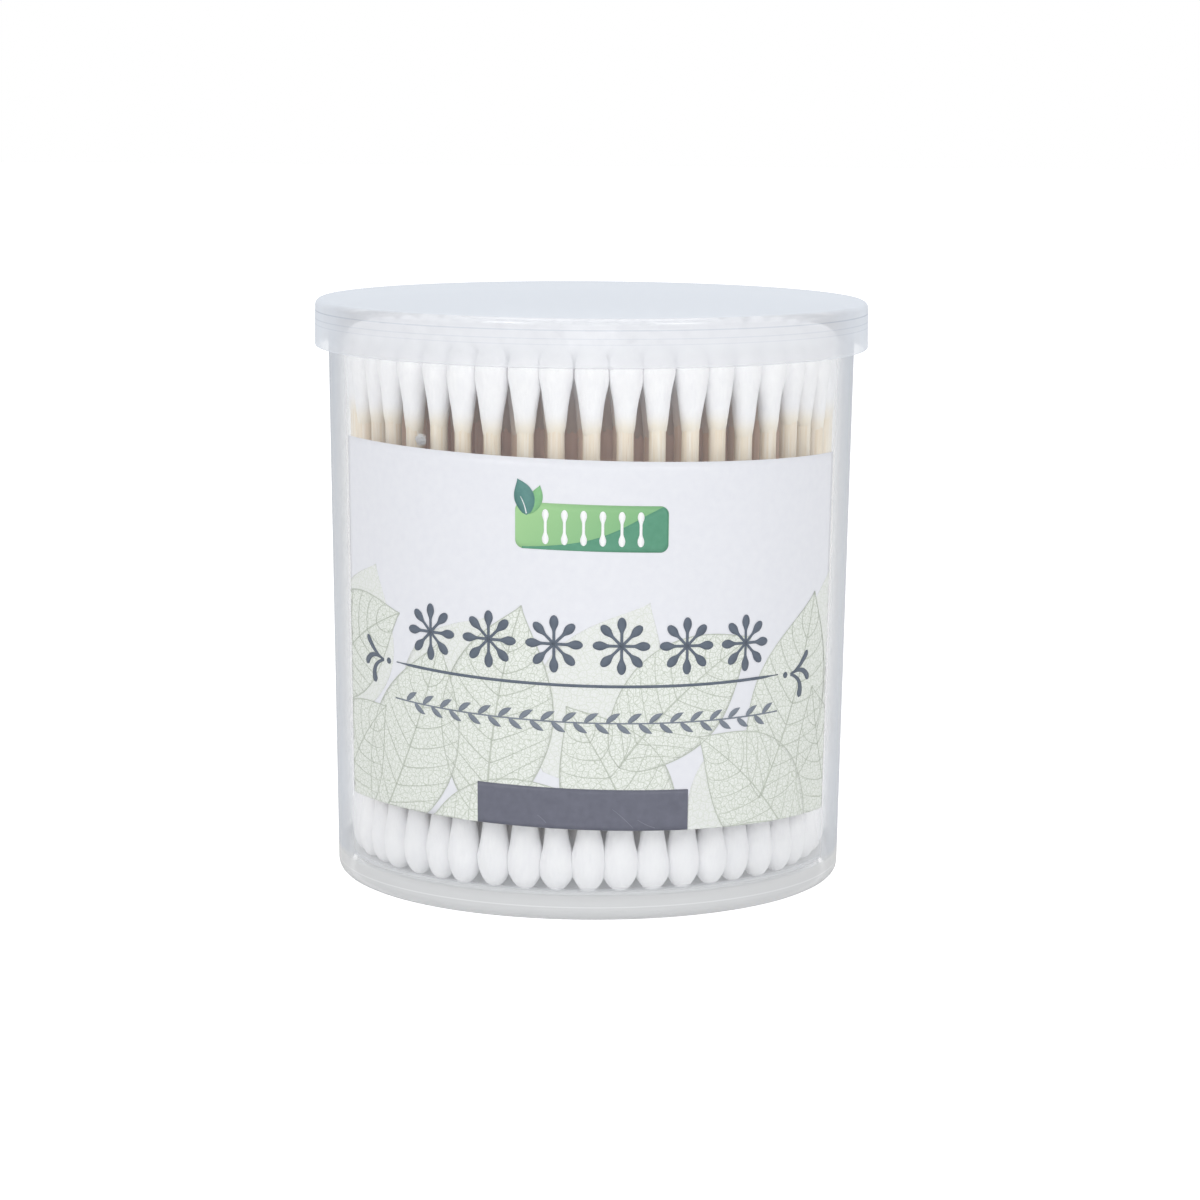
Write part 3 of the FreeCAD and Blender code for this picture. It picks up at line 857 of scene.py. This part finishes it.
def makeBadgePrint():
    # Green badge with a deeper wave along its foot, a pair of leaves on its corner and a row of swabs in it.
    badge = {"left": -9.8, "right": 10.3, "low": 49.6, "high": 55.7, "corner": 1.1, "swabs": 6, "from": -5.8,
             "to": 6.6, "middle": 52.6, "length": 4.6, "tip": 0.44, "stick": 0.19}
    left, right, low, high, corner = (badge[key] for key in ("left", "right", "low", "high", "corner"))
    printed("print_badge", [roundedPlate(left, right, low, high, corner)], 0.030, badgeInk)
    s = np.linspace(left + 0.9, right - 0.05, 60)
    run = (s - s[0]) / (s[-1] - s[0])
    inset = np.clip(corner - (right - s), 0, corner)
    rounding = np.sqrt(np.clip(corner ** 2 - inset ** 2, 0, None))
    floor = low + corner - rounding
    crest = low + 0.25 + 5.0 * run ** 1.6 * (1 - 0.22 * np.sin(math.pi * run * 1.6))
    crest = np.minimum(np.minimum(crest, high - 0.1), high - corner + rounding)
    share = np.linspace(1, -1, 7)
    grid = np.stack([np.broadcast_to(s[:, None], (60, 7)),
                     ((crest + floor) / 2)[:, None] + (crest - floor)[:, None] / 2 * share], axis=-1)
    printed("print_badge_wave", [(grid.reshape(-1, 2), lattice(60, 7, False))], 0.038, deepGreenInk)
    printed("print_badge_side_leaf", [band(*blade((-8.2, 54.2), (-6.5, 58.0), 1.9, -0.10, 20))], 0.042, freshGreenInk)
    printed("print_badge_leaf", [band(*blade((-8.3, 54.0), (-9.5, 58.7), 2.7, -0.12, 20))], 0.048, tealInk)
    icons = [swabShape((s, badge["middle"]), badge["length"], badge["tip"], badge["stick"], 0.0, 0.38)
             for s in np.linspace(badge["from"], badge["to"], badge["swabs"])]
    rib = band(curve((-8.3, 54.2), (-8.5, 55.4), (-9.1, 56.4), 8), 0.08 * np.linspace(1, 0.4, 8))
    printed("print_badge_swabs", icons + [rib], 0.056, whiteInk)


def makePlatePrint():
    # Bare dark plate at the foot of the label, with the fine scuffs that it has picked up.
    left, right, top, corner = -15.2, 13.6, 18.0, 0.12
    printed("print_plate", [roundedPlate(left, right, label["bottom"], top, corner, cols=9)], 0.068, plateInk)
    scuffs = [((3.2, 15.4), (4.6, 14.4), (6.0, 12.9)), ((6.6, 14.0), (7.8, 13.2), (9.0, 12.9)),
              ((-6.8, 14.2), (-6.2, 13.9), (-5.6, 13.2))]
    printed("print_scuffs", [band(curve(*scuff), 0.03) for scuff in scuffs], 0.080, scuffInk)


makeLabel()
makeLeafPrint()
makeTitlePrint()
makeBadgePrint()
makePlatePrint()
print("label made")


# Stage

def seenDirectly(tree):
    # 1 for what the camera sees, also through something clear, and 0 for light between surfaces.
    ray = addNode(tree, "ShaderNodeLightPath").outputs
    return maths(tree, "MAXIMUM", ray["Is Camera Ray"], ray["Is Transmission Ray"])


def makeStage():
    # White floor and backdrop, a soft dome of light, and soft boxes in front, low in front and overhead.
    world = bpy.context.scene.world or bpy.data.worlds.new("world")
    bpy.context.scene.world = world
    world.use_nodes = True
    tree = world.node_tree
    tree.nodes.clear()
    dome = addNode(tree, "ShaderNodeBackground", {"Color": (0.98, 0.99, 1.0, 1.0), "Strength": 0.7}).outputs[0]
    white = addNode(tree, "ShaderNodeBackground", {"Color": (1.0, 1.0, 1.0, 1.0), "Strength": 1.0}).outputs[0]
    both = addNode(tree, "ShaderNodeMixShader", {0: seenDirectly(tree), 1: dome, 2: white}).outputs[0]
    tree.links.new(both, addNode(tree, "ShaderNodeOutputWorld").inputs[0])

    size = 3.0
    mesh = bpy.data.meshes.new("floor")
    mesh.from_pydata([(-size, -size, 0), (size, -size, 0), (size, size, 0), (-size, size, 0)], [], [(0, 1, 2, 3)])
    floor = bpy.data.objects.new("floor", mesh)
    bpy.context.scene.collection.objects.link(floor)
    material, tree, shader = newMaterial("floor_white")
    shader.inputs["Base Color"].default_value = (0.9, 0.9, 0.9, 1.0)
    shader.inputs["Roughness"].default_value = 0.9
    shader.inputs["Specular IOR Level"].default_value = 0.1
    glow = addNode(tree, "ShaderNodeEmission", {"Color": (1.0, 1.0, 1.0, 1.0), "Strength": 0.6}).outputs[0]
    dark = addNode(tree, "ShaderNodeEmission", {"Color": (0.0, 0.0, 0.0, 1.0), "Strength": 0.0}).outputs[0]
    extra = addNode(tree, "ShaderNodeMixShader", {0: seenDirectly(tree), 1: dark, 2: glow}).outputs[0]
    both = addNode(tree, "ShaderNodeAddShader", {0: shader.outputs[0], 1: extra}).outputs[0]
    tree.links.new(both, tree.nodes["Material Output"].inputs[0])
    mesh.materials.append(material)

    lamps = [("soft_box_left", (-0.55, -0.75, 0.55), 0.32, 1.5), ("soft_box_right", (0.55, -0.75, 0.55), 0.32, 1.4),
             ("soft_box_low", (0.0, -0.8, 0.17), 0.3, 0.36), ("soft_box_top", (0.0, 0.1, 1.1), 0.8, 2.6)]
    for name, place, width, power in lamps:
        light = bpy.data.lights.new(name, "AREA")
        light.shape = "SQUARE"
        light.size = width
        light.energy = power
        lamp = bpy.data.objects.new(name, light)
        bpy.context.scene.collection.objects.link(lamp)
        lamp.location = place
        toTub = np.array([0.0, 0.0, 0.04]) - np.array(place)
        flat = math.hypot(toTub[0], toTub[1])
        lamp.rotation_euler = (math.atan2(flat, -toTub[2]), 0.0, math.atan2(-toTub[0], toTub[1]))


def makeCamera():
    # The photo's view: a long lens in front of the label, a little above the lid, turned down and rolled.
    view = {"distance": 0.506, "height": 0.1146, "down": 8.636, "roll": 0.397, "focal": 3651.4, "sidePixels": 10.4,
            "pixels": 1200, "sensor": 36.0}
    camera = bpy.data.objects.new("camera", bpy.data.cameras.new("camera"))
    bpy.context.scene.collection.objects.link(camera)
    camera.data.sensor_width = view["sensor"]
    camera.data.lens = view["focal"] / view["pixels"] * view["sensor"]
    camera.data.shift_x = view["sidePixels"] / view["pixels"]
    camera.data.clip_start = 0.01
    camera.location = (0.0, -view["distance"], view["height"])
    down, roll = math.radians(90 - view["down"]), math.radians(view["roll"])
    turnDown = np.array([[1, 0, 0], [0, math.cos(down), -math.sin(down)], [0, math.sin(down), math.cos(down)]])
    rolled = np.array([[math.cos(roll), -math.sin(roll), 0], [math.sin(roll), math.cos(roll), 0], [0, 0, 1]])
    spin = turnDown @ rolled
    camera.rotation_euler = (math.atan2(spin[2, 1], spin[2, 2]), -math.asin(spin[2, 0]),
                             math.atan2(spin[1, 0], spin[0, 0]))
    bpy.context.scene.camera = camera


makeStage()
makeCamera()
bpy.context.scene.view_settings.view_transform = "Standard"
print("stage made")
